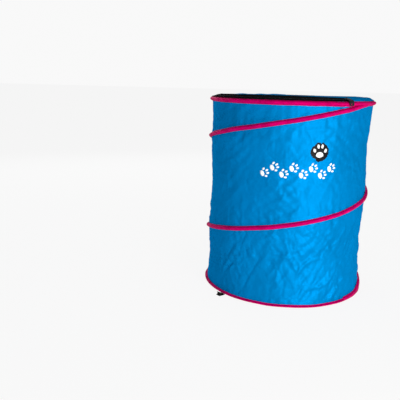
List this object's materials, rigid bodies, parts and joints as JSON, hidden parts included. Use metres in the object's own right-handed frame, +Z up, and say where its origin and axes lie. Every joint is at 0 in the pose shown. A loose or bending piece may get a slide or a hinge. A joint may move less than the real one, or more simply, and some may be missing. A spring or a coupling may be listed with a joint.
{
  "type": "pop-up agility barrel",
  "caption": "Pop-up fabric barrel held open by a coiled spring wire between two hoops, with a zipped fabric lid and peg loops at its base.",
  "frame": {"origin": "centre of the base, on the surface it stands on", "axes": "+Z up along the barrel's axis, the decorated front faces -Y"},
  "size_m": [0.6125, 0.6126, 0.7313],
  "materials": {
    "nylon_blue": "glossy woven nylon",
    "trim_magenta": "satin woven tape",
    "webbing_black": "matte webbing",
    "zip_tape_black": "matte woven tape",
    "zip_coil_black": "moulded nylon",
    "slider_black": "black lacquer",
    "spring_wire": "drawn",
    "ferrule_steel": "crimped"
  },
  "bodies": {
    "base": {"floor_panel": "nylon_blue", "bottom_ring_wire": "spring_wire", "bottom_ring_ferrule": "ferrule_steel", "bottom_ring_binding": "trim_magenta", "side_wall": "nylon_blue", "side_seam_tape": "webbing_black", "spiral_wire": "spring_wire", "spiral_casing": "trim_magenta"},
    "top_hoop": {"top_ring_wire": "spring_wire", "top_ring_ferrule": "ferrule_steel", "top_ring_binding": "trim_magenta", "hinge_flap": "nylon_blue", "outer_zip_tape": "zip_tape_black", "outer_zip_coil": "zip_coil_black", "zip_end_tape": "zip_tape_black", "zip_end_coil": "zip_coil_black", "zip_stops": "slider_black"},
    "lid": {"lid_panel": "nylon_blue", "inner_zip_tape": "zip_tape_black", "inner_zip_coil": "zip_coil_black"},
    "slider": {"slider_body": "slider_black", "slider_crown": "slider_black"},
    "pull": {"pull_eye": "slider_black", "pull_frame": "slider_black"},
    "peg_loop_front": {"peg_loop_front": "webbing_black"},
    "peg_loop_rear": {"peg_loop_rear": "webbing_black"}
  },
  "joints": [
    {"name": "collapse", "type": "slide", "parent": "base", "child": "top_hoop", "axis": [0, 0, 1], "range_m": [-0.64, 0], "stiffness_N_per_m": 30, "springref_m": 0.35, "deforming": ["side_wall", "side_seam_tape", "spiral_wire", "spiral_casing"]},
    {"name": "lid_hinge", "type": "hinge", "parent": "top_hoop", "child": "lid", "pos_m": [0.19931, -0.11277, 0.728], "axis": [0.4924, 0.8704, 0], "range_deg": [0, 125]},
    {"name": "zip_slide", "type": "hinge", "parent": "top_hoop", "child": "slider", "pos_m": [0, 0, 0.72264], "axis": [0, 0, 1], "range_deg": [-300.1, 0]},
    {"name": "pull_swing", "type": "hinge", "parent": "slider", "child": "pull", "pos_m": [0.14395, -0.2434, 0.72806], "axis": [-0.8607, -0.509, 0], "range_deg": [0, 70]},
    {"name": "peg_loop_front_flap", "type": "hinge", "parent": "base", "child": "peg_loop_front", "pos_m": [-0.24224, -0.18925, 0.00165], "axis": [-0.6157, 0.788, 0], "range_deg": [0, 50]},
    {"name": "peg_loop_rear_flap", "type": "hinge", "parent": "base", "child": "peg_loop_rear", "pos_m": [0.24224, 0.18925, 0.00165], "axis": [0.6157, -0.788, 0], "range_deg": [0, 50]}
  ]
}
